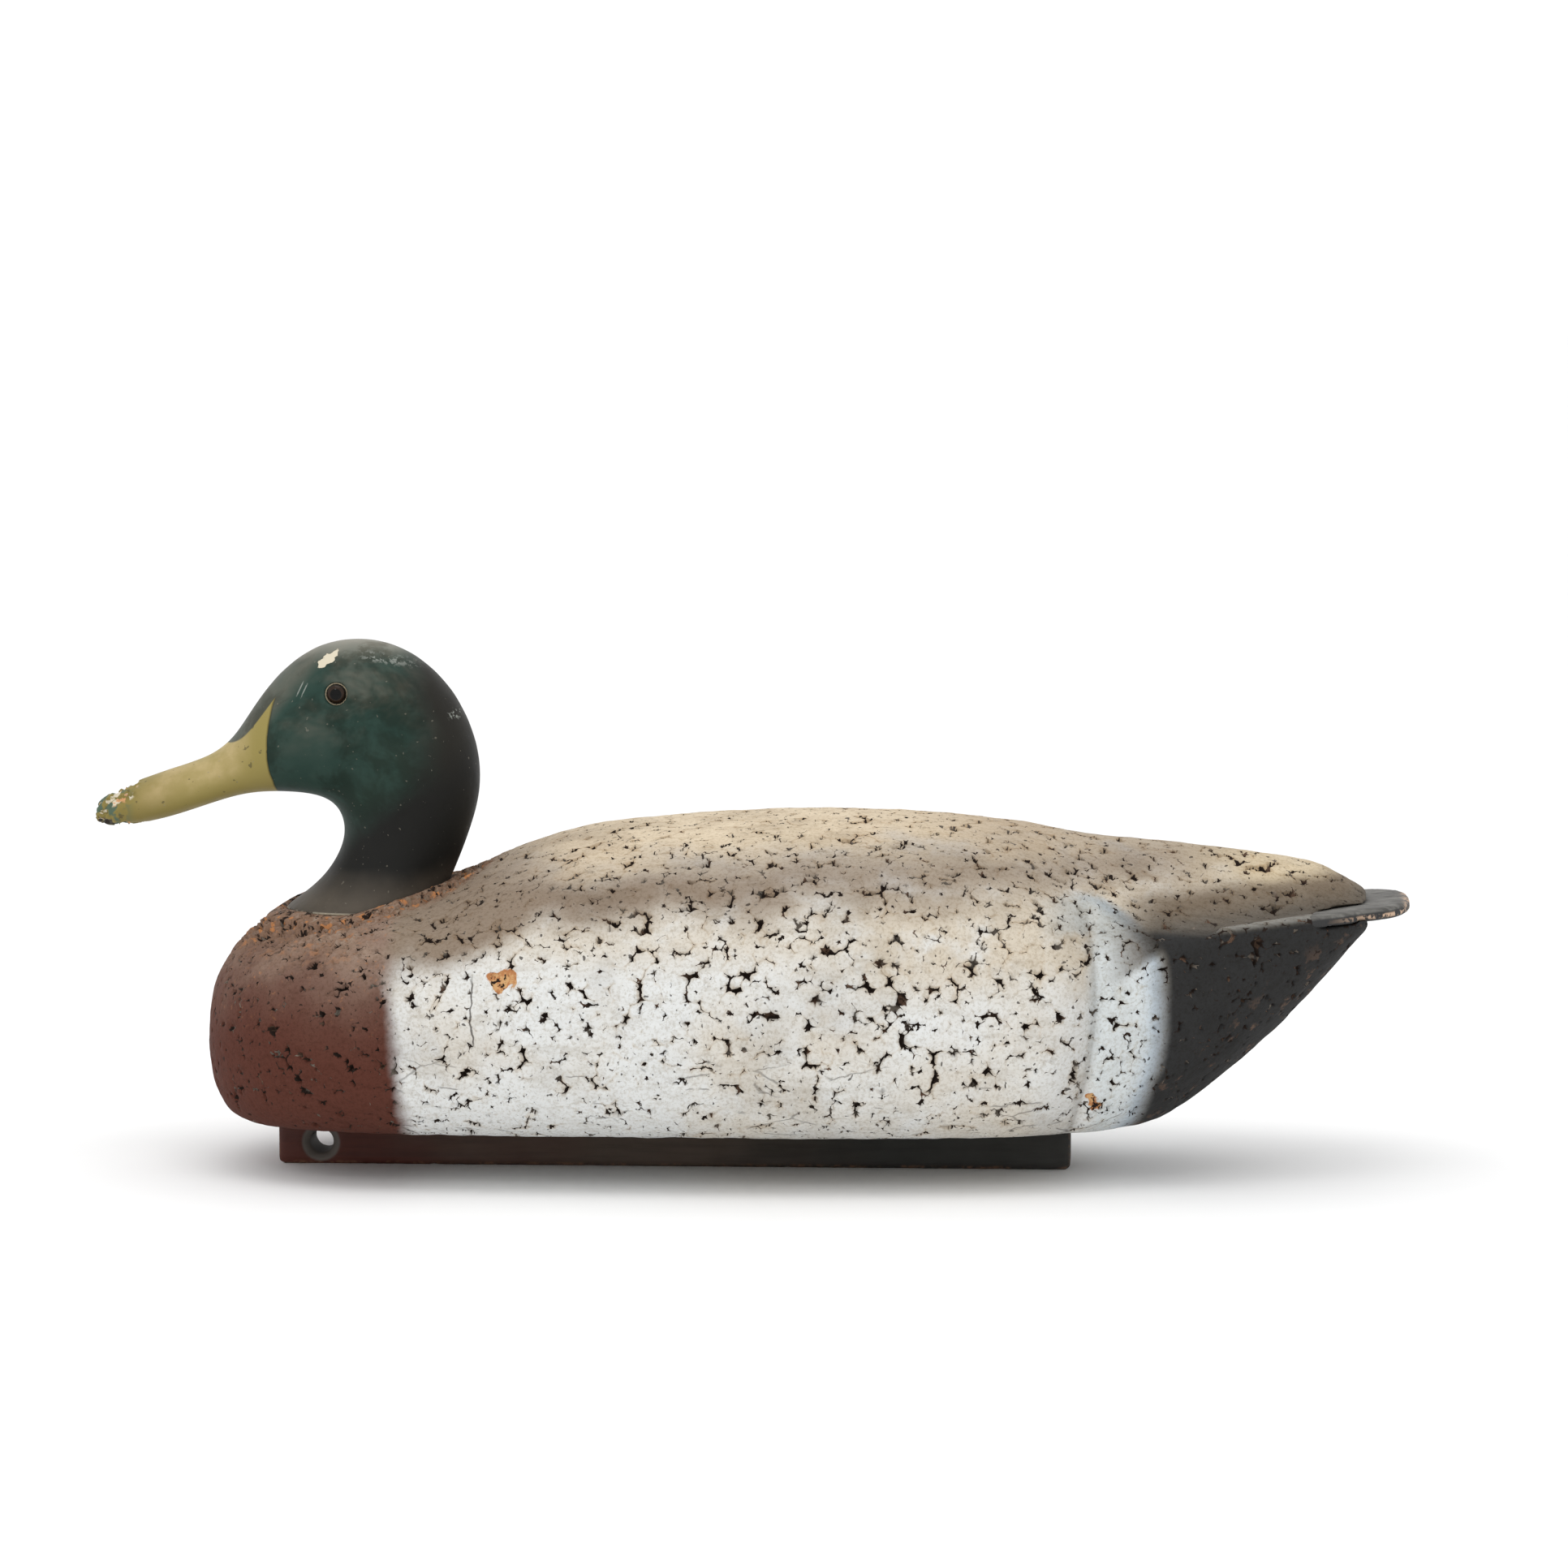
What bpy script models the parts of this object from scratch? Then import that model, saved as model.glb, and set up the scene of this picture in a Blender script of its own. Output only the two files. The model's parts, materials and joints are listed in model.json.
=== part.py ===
"""Floating duck decoy: a mallard drake with a cork body, a carved wooden head that swivels on its
seat, glass eyes, a wooden tail board let into the cork, and a ballasted wooden keel.

The origin is on the ground under the middle of the decoy. +Z is up, the bill points to -X, and the
decoy's left side is -Y. Lengths are written in millimetres and turned into metres by MM.
"""

import math

import bmesh
import bpy
from mathutils import Matrix, Vector

MM = 0.001
GAP = 0.3  # between pieces that touch

# Keel: a wooden strip under the body, with the anchor-line hole near its front end.
KEEL_FRONT, KEEL_REAR = -178.5, 122.4
KEEL_WIDTH, KEEL_HEIGHT = 25.0, 18.7
KEEL_ROUNDING = 1.6
LINE_HOLE_X, LINE_HOLE_Z = -162.2, 8.4
LINE_HOLE_RADIUS, LINE_HOLE_MOUTH = 4.5, 7.0
BODY_BOTTOM = KEEL_HEIGHT + GAP

# Head swivel: the round foot of the neck turns in a shallow conical seat about this upright axis.
SWIVEL_X = -147.8
SEAT_Z = 96.3
FOOT_RADIUS = 28.7
SEAT_CLEARANCE = 0.6
SEAT_SLOPE = 0.48  # the seat's wall opens by this much for each unit of height, as the neck does
SEAT_TOP = 135.0

# Lag screw that holds the head down, from a counterbore in the keel up into the neck.
LAG_RADIUS, LAG_LENGTH = 3.175, 120.0
LAG_HEAD_FLATS, LAG_HEAD_HEIGHT = 11.1, 4.2
LAG_WASHER_RADIUS, LAG_WASHER_THICKNESS = 6.6, 1.2
LAG_BEARING_Z = 6.4  # the washer bears on this plane inside the keel

# Tail board: a thin wooden fan that slopes up towards its tip.
BOARD_THICKNESS = 4.8
BOARD_FRONT, BOARD_TIP = 166.0, 249.8
BOARD_FRONT_HALF, BOARD_SHOULDER_HALF = 46.0, 52.0  # the part that the cork hides
BOARD_SLOPE = math.atan(0.084)
BOARD_TOP_AT_FRONT = 97.0
BOARD_PROUD = 0.4  # how far its edge stands out of the cork's rim
BOARD_END_HALF, BOARD_END_LENGTH = 35.2, 20.0  # the blunt round end past the cork
BOARD_END_SQUARENESS = 2.5
PEG_RADIUS, PEG_X, PEG_Y = 3.0, 188.0, 20.0
PEG_BOTTOM, PEG_TOP = 72.0, 106.0

# Glass eyes, each on a wire stem in a putty-lined socket.
EYE_X, EYE_Z = -154.0, 180.0
EYE_RADIUS, EYE_DOME = 3.6, 2.3
SOCKET_RADIUS, SOCKET_FLOOR_Y = 4.3, 17.6
PUTTY_INNER_RADIUS = 3.75
WIRE_RADIUS, WIRE_LENGTH = 0.6, 8.0

# Ballast: a lead bar let into the keel's underside.
BALLAST_FRONT, BALLAST_REAR = -58.0, 54.0
BALLAST_WIDTH, BALLAST_DEPTH = 14.0, 9.0
BALLAST_SCREWS_X = (-44.0, 40.0)
BALLAST_SCREW_LENGTH = 15.0

# Two hardwood plugs glued into the cork, which the keel screws bite into.
PLUG_RADIUS, PLUG_HEIGHT = 8.0, 52.0
KEEL_SCREWS_X = (-98.0, 88.0)
KEEL_SCREW_LENGTH = 50.0

# Cork body, from breast to tail. Each row is one station along X:
# x, top, bottom, height of the widest line, half width, share of tail section, squareness below.
BODY_STATIONS = [
    (-204.8, 59.0, 40.0, 49.0, 8.0, 0.0, 2.2),
    (-203.4, 67.0, 33.0, 49.5, 21.0, 0.0, 2.4),
    (-199.4, 77.0, 25.0, 50.5, 38.0, 0.0, 2.7),
    (-192.0, 87.4, 18.2, 52.0, 53.0, 0.0, 3.0),
    (-180.0, 97.0, 14.0, 55.0, 67.0, 0.0, 3.2),
    (-162.0, 106.0, 12.6, 58.0, 78.5, 0.0, 3.3),
    (-138.0, 109.5, 12.6, 60.0, 86.0, 0.0, 3.4),
    (-114.5, 109.0, 12.6, 62.0, 90.0, 0.0, 3.4),
    (-91.0, 118.8, 12.6, 64.0, 92.0, 0.0, 3.4),
    (-64.0, 127.6, 12.6, 65.0, 93.5, 0.0, 3.4),
    (-30.0, 132.0, 12.6, 66.0, 94.0, 0.0, 3.4),
    (22.0, 135.0, 12.6, 66.0, 94.0, 0.0, 3.4),
    (72.0, 133.6, 12.6, 66.0, 91.0, 0.0, 3.3),
    (104.0, 130.8, 13.0, 67.0, 86.0, 0.08, 3.2),
    (122.0, 127.9, 14.4, 72.0, 82.5, 0.28, 3.0),
    (138.0, 126.2, 15.4, 82.0, 78.0, 0.52, 2.8),
    (156.0, 124.9, 20.0, 91.5, 70.5, 0.78, 2.5),
    (177.0, 122.8, 34.0, 94.6, 60.8, 0.95, 2.2),
    (198.0, 120.0, 52.2, 96.6, 50.6, 1.0, 2.0),
    (212.0, 117.8, 67.0, 97.7, 44.0, 1.0, 2.0),
    (221.0, 114.0, 77.4, 98.4, 40.2, 1.0, 2.0),
    (228.0, 109.4, 86.0, 98.9, 37.6, 1.0, 2.0),
    (234.0, 106.2, 93.4, 99.4, 35.9, 1.0, 2.0),
]
BODY_POINTS = 40  # around each section
UPPER_SQUARENESS = 2.4

# The flank's carved trailing edge, behind which the sides are set in.
FLANK_X, FLANK_MIDDLE_Z, FLANK_HALF_HEIGHT = 119.0, 72.0, 50.0
FLANK_BOW, FLANK_STEP, FLANK_RUN, FLANK_FADE = 14.0, 4.2, 18.0, 46.0

# Handling has worn the left shoulder down beside the neck.
WEAR_X, WEAR_Y, WEAR_DEPTH, WEAR_LENGTH, WEAR_WIDTH = -152.0, -38.0, 10.5, 27.0, 22.0

# Head and neck, from the bill's tip, over the throat, to the foot. Each row is one section:
# x and z of its point on the underside, x and z on the top side, half width, roundness, and how
# much wider it is below than above.
HEAD_SECTIONS = [
    (-249.8, 131.0, -249.8, 134.2, 4.0, 0.90, 0.0),
    (-248.4, 129.0, -248.3, 136.8, 8.2, 0.85, 0.0),
    (-244.5, 127.9, -244.3, 139.8, 11.6, 0.80, 0.10),
    (-236.0, 128.0, -236.5, 143.8, 13.4, 0.78, 0.16),
    (-221.0, 131.0, -221.5, 149.4, 13.4, 0.80, 0.22),
    (-206.0, 135.9, -206.0, 154.8, 12.8, 0.84, 0.28),
    (-194.0, 139.6, -196.5, 161.8, 14.2, 0.88, 0.30),
    (-184.5, 141.0, -189.0, 172.6, 17.8, 0.88, 0.28),
    (-175.0, 141.1, -178.5, 186.2, 22.0, 0.86, 0.24),
    (-166.5, 140.4, -163.5, 197.0, 24.8, 0.84, 0.20),
    (-160.6, 138.8, -145.0, 199.8, 26.0, 0.84, 0.16),
    (-156.8, 136.2, -127.0, 193.8, 26.0, 0.85, 0.10),
    (-154.6, 132.4, -112.0, 179.4, 25.0, 0.88, 0.05),
    (-153.7, 128.2, -103.4, 160.6, 23.4, 0.92, 0.0),
    (-154.2, 123.4, -101.8, 143.6, 22.2, 0.95, 0.0),
    (-156.8, 117.0, -105.4, 128.4, 21.8, 0.97, 0.0),
    (-161.8, 109.6, -110.6, 114.6, 23.0, 1.0, 0.0),
    (-168.6, 103.4, -115.0, 104.6, 25.6, 1.0, 0.0),
    (-174.4, 98.9, -118.2, 98.4, 27.9, 1.0, 0.0),
    (-176.5, 96.6, -119.1, 96.6, 28.7, 1.0, 0.0),
]
HEAD_POINTS = 36

# Colours are linear red, green and blue, then roughness and metallic.
FINISHES = {
    "cork_paint": (0.55, 0.52, 0.46, 0.8, 0.0),
    "head_paint": (0.02, 0.07, 0.06, 0.5, 0.0),
    "tail_paint": (0.30, 0.29, 0.26, 0.7, 0.0),
    "keel_paint": (0.05, 0.03, 0.025, 0.7, 0.0),
    "glass_eye": (0.015, 0.010, 0.008, 0.08, 0.0),
    "putty": (0.62, 0.52, 0.36, 0.9, 0.0),
    "lead": (0.22, 0.22, 0.23, 0.6, 1.0),
    "steel": (0.40, 0.38, 0.36, 0.5, 1.0),
    "bare_wood": (0.45, 0.30, 0.17, 0.8, 0.0),
}


# ---- helpers -------------------------------------------------------------------------------


def finish(slot):
    """The named paint or bare material, made once."""
    found = bpy.data.materials.get(slot)
    if found:
        return found
    red, green, blue, roughness, metallic = FINISHES[slot]
    material = bpy.data.materials.new(slot)
    material.use_nodes = True
    shader = material.node_tree.nodes["Principled BSDF"]
    shader.inputs["Base Color"].default_value = (red, green, blue, 1.0)
    shader.inputs["Roughness"].default_value = roughness
    shader.inputs["Metallic"].default_value = metallic
    material.diffuse_color = (red, green, blue, 1.0)
    return material


def add_object(name, bm, slot=None, sharp=40):
    """A scene object from a bmesh in millimetres. Without a slot it is a hidden cutter."""
    bmesh.ops.recalc_face_normals(bm, faces=bm.faces)
    bmesh.ops.scale(bm, vec=(MM, MM, MM), verts=bm.verts)
    mesh = bpy.data.meshes.new(name)
    bm.to_mesh(mesh)
    bm.free()
    obj = bpy.data.objects.new(name, mesh)
    bpy.context.scene.collection.objects.link(obj)
    if slot:
        mesh.shade_smooth()
        mesh.set_sharp_from_angle(angle=math.radians(sharp))
        mesh.materials.append(finish(slot))
    else:
        obj.hide_render = True
        obj.display_type = "WIRE"
    return obj


def cut(target, *cutters):
    """Boolean differences that stay on the target as modifiers."""
    for cutter in cutters:
        modifier = target.modifiers.new(cutter.name, "BOOLEAN")
        modifier.operation = "DIFFERENCE"
        modifier.object = cutter


def smooth_rows(rows, steps):
    """Rows on one Catmull-Rom curve through the given rows, with this many steps to a span."""
    ends = [rows[0], *rows, rows[-1]]
    for before, start, end, after in zip(ends, ends[1:], ends[2:], ends[3:]):
        for step in range(steps):
            t = step / steps
            yield [
                0.5
                * (
                    2 * b
                    + (c - a) * t
                    + (2 * a - 5 * b + 4 * c - d) * t**2
                    + (3 * b - a - 3 * c + d) * t**3
                )
                for a, b, c, d in zip(before, start, end, after)
            ]
    yield list(rows[-1])


def loft(rings):
    """A closed bmesh: the first ring is extruded from ring to ring, then both ends are capped."""
    bm = bmesh.new()
    loop = bmesh.ops.create_circle(bm, segments=len(rings[0]), radius=1)["verts"]
    for vert, place in zip(loop, rings[0]):
        vert.co = place
    edges = bm.edges[:]
    for ring in rings[1:]:
        grown = bmesh.ops.extrude_edge_only(bm, edges=edges)["geom"]
        new = {part for part in grown if isinstance(part, bmesh.types.BMVert)}
        loop = [
            next(edge.other_vert(vert) for edge in vert.link_edges if edge.other_vert(vert) in new)
            for vert in loop
        ]
        for vert, place in zip(loop, ring):
            vert.co = place
        edges = [
            part
            for part in grown
            if isinstance(part, bmesh.types.BMEdge) and new.issuperset(part.verts)
        ]
    bmesh.ops.holes_fill(bm, edges=bm.edges, sides=0)
    return bm


def turned(profile, segments):
    """A closed bmesh turned about Z from (radius, height) points that start and end on the axis."""
    bm = bmesh.new()
    verts = [bm.verts.new((radius, 0, height)) for radius, height in profile]
    edges = [bm.edges.new(pair) for pair in zip(verts, verts[1:])]
    bmesh.ops.spin(
        bm,
        geom=verts + edges,
        cent=(0, 0, 0),
        axis=(0, 0, 1),
        angle=2 * math.pi,
        steps=segments,
        use_merge=True,
    )
    bmesh.ops.remove_doubles(bm, verts=bm.verts, dist=1e-4)
    return bm


def placed(bm, x=0.0, y=0.0, z=0.0, turn=None):
    """The bmesh turned by a matrix, if one is given, and then moved."""
    if turn:
        bmesh.ops.transform(bm, matrix=turn, verts=bm.verts)
    bmesh.ops.translate(bm, vec=(x, y, z), verts=bm.verts)
    return bm


def cylinder(radius, bottom, top, segments=32):
    return turned([(0, bottom), (radius, bottom), (radius, top), (0, top)], segments)


def block(x0, x1, y0, y1, z0, z1):
    bm = bmesh.new()
    bmesh.ops.create_cube(bm, size=1)
    bmesh.ops.scale(bm, vec=(x1 - x0, y1 - y0, z1 - z0), verts=bm.verts)
    return placed(bm, (x0 + x1) / 2, (y0 + y1) / 2, (z0 + z1) / 2)


def wood_screw(head_radius, shank_radius, length, threads, segments=12):
    """Countersunk screw, head down at height 0 and point up, with a ring for each thread crest."""
    head_height = head_radius - shank_radius
    profile = [(0, 0.9), (head_radius * 0.35, 0.9), (head_radius * 0.45, 0)]
    profile += [(head_radius, 0), (head_radius, 0.4), (shank_radius, 0.4 + head_height)]
    profile += thread_profile(shank_radius, length * 0.45, length - 2 * shank_radius, threads)
    profile += [(0, length)]
    return turned(profile, segments)


def thread_profile(radius, start, end, threads):
    """Root and crest points of a thread between two heights, at the shank's own radius."""
    pitch = (end - start) / threads
    root = radius * 0.76
    points = [(radius, start)]
    for turn in range(threads):
        points.append((root, start + (turn + 0.35) * pitch))
        points.append((radius, start + (turn + 0.80) * pitch))
    return points + [(root, end)]


# ---- cork body -----------------------------------------------------------------------------


def smooth_step(value):
    value = min(1.0, max(0.0, value))
    return value * value * (3 - 2 * value)


def body_point(station, angle):
    """A point of the body's surface. The angle runs from the crown (0) down one side."""
    x, top, bottom, wide_z, half, tail, squareness = station
    side, up = math.sin(angle), math.cos(angle)
    power = 2 / (UPPER_SQUARENESS if up > 0 else squareness)
    y = half * math.copysign(abs(side) ** power, side)
    rounded = abs(up) ** power
    if up > 0:
        # The tail section is a ridge with hollow sides that flare out to the tail board's edge.
        ridge = math.cos(math.pi / 2 * abs(y) / half) ** 2
        z = wide_z + (top - wide_z) * (rounded * (1 - tail) + ridge * tail)
    else:
        z = wide_z - (wide_z - bottom) * rounded
    return carved(x, y, z, half)


def carved(x, y, z, half):
    """Adds the flank's trailing edge and the worn left shoulder to a point of the body."""
    rise = (z - FLANK_MIDDLE_Z) / FLANK_HALF_HEIGHT
    if abs(rise) < 1 and half:
        edge_x = FLANK_X + FLANK_BOW * (1 - rise * rise)
        along = min(1.0, max(0.0, (x - edge_x) / FLANK_RUN + 1))
        rounded = 1 - math.sqrt(1 - along * along)
        fade = 1 - smooth_step((x - edge_x) / FLANK_FADE)
        set_in = FLANK_STEP * rounded * fade * smooth_step(2 * (1 - abs(rise)))
        y -= math.copysign(set_in * min(1.0, (abs(y) / half) ** 2), y)
    along = math.exp(-(((x - WEAR_X) / WEAR_LENGTH) ** 2))
    across = math.exp(-(((y - WEAR_Y) / WEAR_WIDTH) ** 2))
    if z > SEAT_Z - 12:
        z -= WEAR_DEPTH * along * across
    return Vector((x, y, z))


def neck_seat():
    """The conical pocket that the neck's foot turns in."""
    radius = FOOT_RADIUS + SEAT_CLEARANCE
    top_radius = radius + SEAT_SLOPE * (SEAT_TOP - SEAT_Z)
    profile = [(0, SEAT_Z), (radius, SEAT_Z), (top_radius, SEAT_TOP), (0, SEAT_TOP)]
    return placed(turned(profile, 64), x=SWIVEL_X)


def board_matrix():
    """Carries the tail board from its own flat frame, top face at height 0, to its place."""
    lift = Matrix.Translation((BOARD_FRONT, 0, BOARD_TOP_AT_FRONT))
    return lift @ Matrix.Rotation(-BOARD_SLOPE, 4, "Y")


def tail_slot():
    """The saw slot that the tail board is let into, the gap wider than the board all round."""
    outline = [(along, width + GAP) for along, width in board_outline()]
    outline[0] = (-GAP, outline[0][1])
    slot = board_blank(outline, -BOARD_THICKNESS - GAP, GAP)
    bmesh.ops.transform(slot, matrix=board_matrix(), verts=slot.verts)
    return slot


def saw_flat(bm):
    """Cuts the underside off level, where the keel goes on."""
    geom = bm.verts[:] + bm.edges[:] + bm.faces[:]
    bmesh.ops.bisect_plane(
        bm,
        geom=geom,
        dist=1e-4,
        plane_co=(0, 0, BODY_BOTTOM),
        plane_no=(0, 0, -1),
        clear_outer=True,
    )
    bmesh.ops.holes_fill(bm, edges=bm.edges, sides=0)


def make_body():
    turns = [2 * math.pi * n / BODY_POINTS for n in range(BODY_POINTS)]
    rings = [
        [body_point(station, angle) for angle in turns]
        for station in smooth_rows(BODY_STATIONS, 3)
    ]
    bm = loft(rings)
    saw_flat(bm)
    body = add_object("cork_body", bm, "cork_paint")
    cut(body, add_object("cut_neck_seat", neck_seat()))
    cut(body, add_object("cut_tail_slot", tail_slot()))
    lag_hole = placed(cylinder(LAG_RADIUS + 0.4, 5, SEAT_Z + 20, 20), x=SWIVEL_X)
    cut(body, add_object("cut_body_lag", lag_hole))
    for number, x in enumerate(KEEL_SCREWS_X, 1):
        hole = placed(cylinder(PLUG_RADIUS + GAP, 5, BODY_BOTTOM + PLUG_HEIGHT + GAP, 24), x=x)
        cut(body, add_object(f"cut_plug_{number}", hole))
    for number, side in enumerate((-1, 1), 1):
        hole = cylinder(PEG_RADIUS + GAP, PEG_BOTTOM - GAP, PEG_TOP + GAP, 20)
        cut(body, add_object(f"cut_body_peg_{number}", placed(hole, PEG_X, side * PEG_Y)))


# ---- head ----------------------------------------------------------------------------------


def head_ring(section):
    """One closed section of the head, between its underside point and its top-side point."""
    under_x, under_z, over_x, over_z, half, roundness, fuller_below = section
    ring = []
    for n in range(HEAD_POINTS):
        angle = 2 * math.pi * n / HEAD_POINTS
        share = (1 - math.cos(angle)) / 2
        side = math.copysign(abs(math.sin(angle)) ** roundness, math.sin(angle))
        y = half * side * (1 + fuller_below * (0.5 - share))
        x = under_x + (over_x - under_x) * share
        z = under_z + (over_z - under_z) * share
        ring.append(Vector((x, y, z)))
    return ring


def sideways(side):
    """Turns +Z to point out of the decoy's side (-1 left, 1 right)."""
    return Matrix.Rotation(-side * math.pi / 2, 4, "X")


def make_head():
    rings = [head_ring(section) for section in smooth_rows(HEAD_SECTIONS, 2)]
    head = add_object("head", loft(rings), "head_paint")
    lag_top = LAG_BEARING_Z - LAG_WASHER_THICKNESS - GAP + LAG_LENGTH
    bore = placed(cylinder(LAG_RADIUS + GAP, SEAT_Z - 5, lag_top + 1.5, 20), x=SWIVEL_X)
    cut(head, add_object("cut_head_lag", bore))
    for name, side in (("left", -1), ("right", 1)):
        socket = cylinder(SOCKET_RADIUS, SOCKET_FLOOR_Y, SOCKET_FLOOR_Y + 20, 32)
        wire_hole = cylinder(
            WIRE_RADIUS + GAP, SOCKET_FLOOR_Y - WIRE_LENGTH - 0.5, SOCKET_FLOOR_Y + 1, 12
        )
        for kind, bm in (("socket", socket), ("wire", wire_hole)):
            cutter = placed(bm, EYE_X, 0, EYE_Z, turn=sideways(side))
            cut(head, add_object(f"cut_{kind}_{name}", cutter))


def make_eye(name, side):
    """Glass dome on a flat back, a wire stem behind it and a ring of putty round it."""
    back = SOCKET_FLOOR_Y + 2.4
    steps = 7
    dome = [
        (EYE_RADIUS * math.cos(a), back + 1.6 + EYE_DOME * math.sin(a))
        for a in (math.pi / 2 * n / steps for n in range(steps))
    ]
    profile = [(0, back), (EYE_RADIUS, back), *dome, (0, back + 1.6 + EYE_DOME)]
    place = {"x": EYE_X, "z": EYE_Z, "turn": sideways(side)}
    add_object(f"eye_{name}", placed(turned(profile, 28), **place), "glass_eye")

    wire = cylinder(WIRE_RADIUS, back - GAP - WIRE_LENGTH, back - GAP, 10)
    add_object(f"eye_wire_{name}", placed(wire, **place), "steel")

    outer = SOCKET_RADIUS - 0.1
    floor = SOCKET_FLOOR_Y + 0.2
    ring = [
        (outer, floor),
        (outer, back + 1.9),
        (PUTTY_INNER_RADIUS, back + 1.4),
        (PUTTY_INNER_RADIUS, back - GAP),
        (WIRE_RADIUS + GAP, back - GAP - 0.2),
        (WIRE_RADIUS + GAP, floor),
    ]
    bm = bmesh.new()
    verts = [bm.verts.new((radius, 0, height)) for radius, height in ring]
    edges = [bm.edges.new(pair) for pair in zip(verts, verts[1:] + verts[:1])]
    bmesh.ops.spin(
        bm,
        geom=verts + edges,
        cent=(0, 0, 0),
        axis=(0, 0, 1),
        angle=2 * math.pi,
        steps=28,
        use_merge=True,
    )
    bmesh.ops.remove_doubles(bm, verts=bm.verts, dist=1e-4)
    add_object(f"eye_putty_{name}", placed(bm, **place), "putty")


def make_lag_screw():
    """Hex-headed lag screw that clamps the head to the keel, and the washer it bears on."""
    bearing = LAG_BEARING_Z - LAG_WASHER_THICKNESS - GAP
    bm = bmesh.new()
    hexagon = bmesh.ops.create_circle(
        bm, cap_ends=True, segments=6, radius=LAG_HEAD_FLATS / math.sqrt(3)
    )["verts"]
    bmesh.ops.translate(bm, vec=(0, 0, bearing - LAG_HEAD_HEIGHT), verts=hexagon)
    lid = bmesh.ops.extrude_face_region(bm, geom=bm.faces[:])["geom"]
    corners = [part for part in lid if isinstance(part, bmesh.types.BMVert)]
    bmesh.ops.translate(bm, vec=(0, 0, LAG_HEAD_HEIGHT), verts=corners)
    lag = add_object("neck_lag_screw", placed(bm, x=SWIVEL_X), "steel")

    point = bearing + LAG_LENGTH
    thread = thread_profile(LAG_RADIUS, SEAT_Z + 2, point - 5, 9)
    profile = [(0, bearing - 1), (LAG_RADIUS, bearing - 1), *thread, (0, point)]
    shank = add_object("lag_shank", placed(turned(profile, 16), x=SWIVEL_X))
    union = lag.modifiers.new("shank", "BOOLEAN")
    union.operation = "UNION"
    union.object = shank

    inner, outer = LAG_RADIUS + 0.3, LAG_WASHER_RADIUS
    low, high = LAG_BEARING_Z - LAG_WASHER_THICKNESS, LAG_BEARING_Z - 0.05
    washer = placed(cylinder(outer, low, high, 28), x=SWIVEL_X)
    hole = placed(cylinder(inner, low - 1, high + 1, 20), x=SWIVEL_X)
    cut(
        add_object("neck_washer", washer, "steel"),
        add_object("cut_washer", hole),
    )


# ---- keel and ballast ----------------------------------------------------------------------


def line_hole():
    """The anchor-line hole, with its mouth opened on both sides of the keel."""
    half = KEEL_WIDTH / 2
    chamfer = LINE_HOLE_MOUTH - LINE_HOLE_RADIUS
    profile = [(0, -half - 1), (LINE_HOLE_MOUTH + 1, -half - 1)]
    profile += [(LINE_HOLE_RADIUS, -half + chamfer), (LINE_HOLE_RADIUS, half - chamfer)]
    profile += [(LINE_HOLE_MOUTH + 1, half + 1), (0, half + 1)]
    turn = Matrix.Rotation(math.pi / 2, 4, "X")
    return placed(turned(profile, 32), x=LINE_HOLE_X, z=LINE_HOLE_Z, turn=turn)


def make_keel():
    half = KEEL_WIDTH / 2
    bm = block(KEEL_FRONT, KEEL_REAR, -half, half, 0, KEEL_HEIGHT)
    bmesh.ops.bevel(
        bm,
        geom=bm.edges[:],
        offset=KEEL_ROUNDING,
        segments=2,
        profile=0.5,
        affect="EDGES",
        material=-1,
    )
    keel = add_object("keel", bm, "keel_paint")
    cut(keel, add_object("cut_line_hole", line_hole()))

    counterbore = cylinder(LAG_WASHER_RADIUS + 0.3, -1, LAG_BEARING_Z, 28)
    cut(keel, add_object("cut_counterbore", placed(counterbore, x=SWIVEL_X)))
    lag_hole = cylinder(LAG_RADIUS + 0.4, 1, KEEL_HEIGHT + 1, 20)
    cut(keel, add_object("cut_keel_lag", placed(lag_hole, x=SWIVEL_X)))

    width = BALLAST_WIDTH / 2 + GAP
    pocket = block(
        BALLAST_FRONT - GAP, BALLAST_REAR + GAP, -width, width, -1, BALLAST_DEPTH + 2 * GAP
    )
    cut(keel, add_object("cut_ballast", pocket))
    for number, x in enumerate(BALLAST_SCREWS_X, 1):
        hole = cylinder(1.6 + GAP, 1, GAP + BALLAST_SCREW_LENGTH + 0.8, 14)
        cut(keel, add_object(f"cut_ballast_pilot_{number}", placed(hole, x=x)))
    for number, x in enumerate(KEEL_SCREWS_X, 1):
        mouth = cylinder(4.6 + GAP, -1, 3.4, 20)
        hole = cylinder(2.4 + GAP, 1, KEEL_HEIGHT + 1, 16)
        cut(keel, add_object(f"cut_screw_mouth_{number}", placed(mouth, x=x)))
        cut(keel, add_object(f"cut_screw_hole_{number}", placed(hole, x=x)))


def make_ballast():
    half = BALLAST_WIDTH / 2
    bm = block(BALLAST_FRONT, BALLAST_REAR, -half, half, GAP, GAP + BALLAST_DEPTH)
    bmesh.ops.bevel(
        bm, geom=bm.edges[:], offset=0.8, segments=1, profile=0.5, affect="EDGES", material=-1
    )
    ballast = add_object("ballast_lead", bm, "lead")
    for number, (name, x) in enumerate(zip(("front", "rear"), BALLAST_SCREWS_X), 1):
        mouth = cylinder(3.2 + GAP, -1, 3.2, 16)
        hole = cylinder(1.6 + GAP, 1, BALLAST_DEPTH + 2, 14)
        cut(ballast, add_object(f"cut_lead_mouth_{number}", placed(mouth, x=x)))
        cut(ballast, add_object(f"cut_lead_hole_{number}", placed(hole, x=x)))
        screw = wood_screw(3.2, 1.6, BALLAST_SCREW_LENGTH, 5)
        add_object(f"ballast_screw_{name}", placed(screw, x=x, z=2 * GAP), "steel")


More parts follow.
